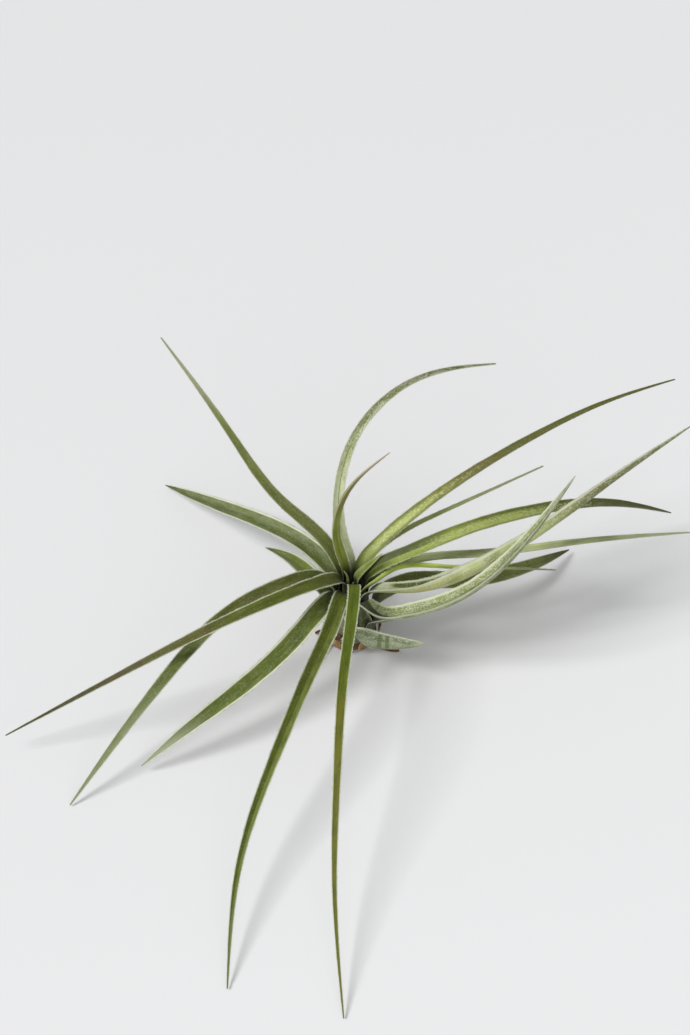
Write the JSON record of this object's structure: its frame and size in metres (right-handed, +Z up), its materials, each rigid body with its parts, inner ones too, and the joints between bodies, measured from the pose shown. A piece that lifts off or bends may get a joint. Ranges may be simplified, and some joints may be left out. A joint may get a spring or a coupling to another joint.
{
  "type": "air plant",
  "caption": "Air plant: a loose rosette of long channelled tapering leaves, green with silvery scurf, on a short stem that stands on its flat foot.",
  "frame": {"origin": "middle of the flat foot of the stem, on the surface that the plant rests on", "axes": "+Z up along the growth axis; -Y towards the side with the two long drooping leaves; +X towards the side with the most leaves"},
  "size_m": [0.1637, 0.1544, 0.0609],
  "materials": {
    "stem": "matte",
    "dry_scale": "matte",
    "leaf_green": "satin",
    "leaf_olive": "satin",
    "leaf_dark": "satin",
    "leaf_silver": "satin"
  },
  "bodies": {
    "root": {"stem": "stem", "dry_scale_1": "dry_scale", "dry_scale_2": "dry_scale", "dry_scale_3": "dry_scale", "dry_scale_4": "dry_scale", "dry_scale_5": "dry_scale", "dry_scale_6": "dry_scale", "dry_scale_7": "dry_scale", "leaf_back_left_long": "leaf_olive", "leaf_back_left_broad": "leaf_dark", "leaf_left_short": "leaf_dark", "leaf_inner_pale_tip": "leaf_olive", "leaf_back_arching": "leaf_olive", "leaf_back_right_long": "leaf_green", "leaf_right_thin_high": "leaf_green", "leaf_right_arching": "leaf_green", "leaf_right_straight": "leaf_green", "leaf_right_thin_low": "leaf_green", "leaf_right_trough_long": "leaf_silver", "leaf_right_trough_low": "leaf_silver", "leaf_right_broad_low": "leaf_dark", "leaf_front_short_banded": "leaf_silver", "leaf_right_short": "leaf_silver", "leaf_front_long": "leaf_green", "leaf_front_left_long": "leaf_green", "leaf_front_left_blunt": "leaf_dark", "leaf_left_long_low": "leaf_olive", "leaf_left_long_high": "leaf_olive", "heart_leaf_right": "leaf_green", "heart_leaf_left": "leaf_green", "heart_leaf_front": "leaf_green"}
  },
  "joints": []
}
